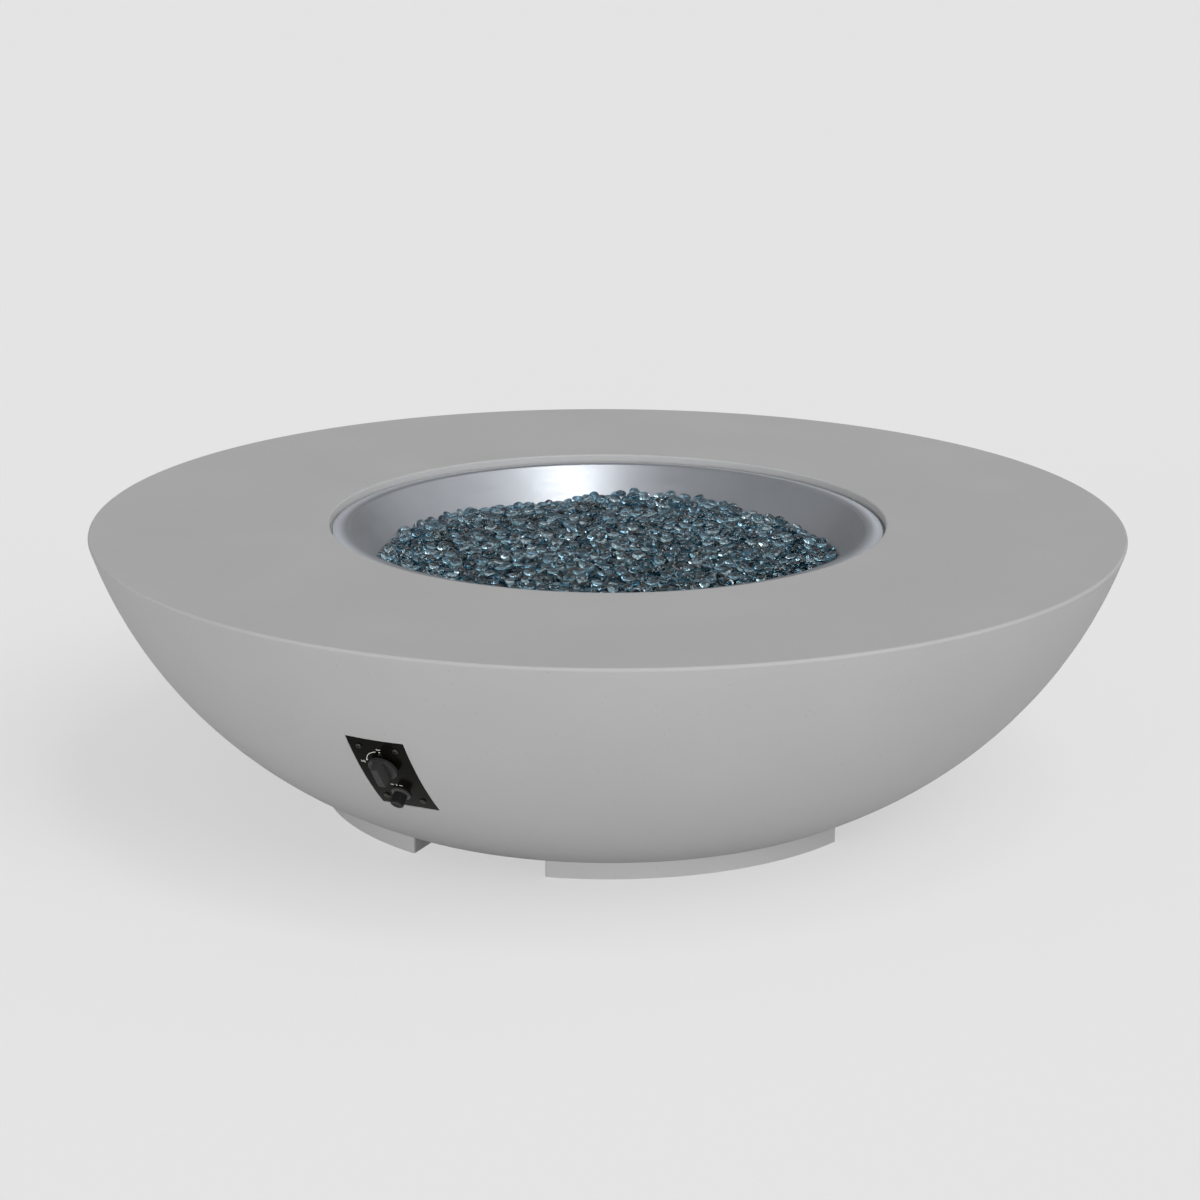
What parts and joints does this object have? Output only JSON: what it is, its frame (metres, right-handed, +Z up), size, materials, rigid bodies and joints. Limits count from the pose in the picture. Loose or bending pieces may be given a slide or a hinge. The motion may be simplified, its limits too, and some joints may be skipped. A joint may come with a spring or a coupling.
{
  "type": "gas fire pit",
  "caption": "Round cast-stone gas fire bowl on four foot segments, with a steel burner pan filled with glass pebbles and a control plate with gas knob and push igniter.",
  "frame": {"origin": "on the floor under the centre of the bowl", "axes": "+Z up, the control plate faces -Y, +X to the right of someone who faces the plate"},
  "size_m": [1.5214, 1.5214, 0.408],
  "materials": {
    "bowl_stone": "matt cast stone, smooth grey",
    "foot_stone": "matt cast stone, smooth grey",
    "pan_steel": "satin stainless sheet",
    "burner_steel": "heat-tinted stainless",
    "bolt_steel": "zinc plated",
    "screw_steel": "blackened steel",
    "bracket_steel": "galvanised sheet",
    "gasket_fibre": "woven ceramic fibre",
    "bed_glass": "clear teal-blue glass pebbles",
    "brass": "turned brass",
    "valve_aluminium": "die-cast",
    "plate_black": "satin black powder coat",
    "knob_black": "fine matt black plastic",
    "igniter_black": "matt black plastic",
    "spring_steel": "bright spring wire",
    "battery_skin": "plain printed sleeve",
    "insulator_ceramic": "white glazed",
    "copper": "copper lead",
    "lead_rubber": "silicone insulation",
    "line_yellow": "coated flexible gas line"
  },
  "bodies": {
    "bowl": {"air_mixer": "brass", "bowl_shell": "bowl_stone", "bracket_screws": "bolt_steel", "burner": "burner_steel", "burner_nipple": "burner_steel", "burner_pan": "pan_steel", "control_plate": "plate_black", "flame_cage": "burner_steel", "flare_nuts": "brass", "flex_line": "line_yellow", "foot_back_left": "foot_stone", "foot_back_right": "foot_stone", "foot_bolts": "bolt_steel", "foot_front_left": "foot_stone", "foot_front_right": "foot_stone", "foot_nuts": "bolt_steel", "foot_washers": "bolt_steel", "glass_bed": "bed_glass", "igniter_battery": "battery_skin", "igniter_housing": "igniter_black", "igniter_nut": "igniter_black", "igniter_spring": "spring_steel", "ignition_lead": "lead_rubber", "inlet_bracket": "bracket_steel", "inlet_fitting": "brass", "inlet_locknut": "brass", "magnet_unit": "brass", "nipple_locknut": "bolt_steel", "nipple_washer": "bolt_steel", "orifice_fitting": "brass", "pilot_bracket": "burner_steel", "pilot_nuts": "bolt_steel", "pilot_screws": "bolt_steel", "plate_screws": "screw_steel", "rim_gasket": "gasket_fibre", "spark_electrode": "burner_steel", "spark_insulator": "insulator_ceramic", "stem_spring": "spring_steel", "supply_line": "line_yellow", "thermocouple_lead": "copper", "thermocouple_nut": "brass", "thermocouple_probe": "burner_steel", "threaded_inserts": "brass", "valve_body": "valve_aluminium", "valve_gland": "brass", "valve_screws": "screw_steel"},
    "plug": {"valve_plug": "brass"},
    "knob": {"valve_stem": "bolt_steel", "control_knob": "knob_black"},
    "button": {"igniter_button": "igniter_black"}
  },
  "joints": [
    {"name": "knob_turn", "type": "hinge", "parent": "bowl", "child": "plug", "pos_m": [0, -0.66984, 0.22789], "axis": [0, -0.81, -0.5864], "range_deg": [0, 180]},
    {"name": "knob_push", "type": "slide", "parent": "plug", "child": "knob", "axis": [0, 0.81, 0.5864], "range_m": [0, 0.003], "stiffness_N_per_m": 800, "springref_m": -0.004, "deforming": ["stem_spring"]},
    {"name": "igniter_push", "type": "slide", "parent": "bowl", "child": "button", "axis": [0, 0.7441, 0.6681], "range_m": [0, 0.004], "stiffness_N_per_m": 500, "springref_m": -0.005, "deforming": ["igniter_spring"]}
  ]
}
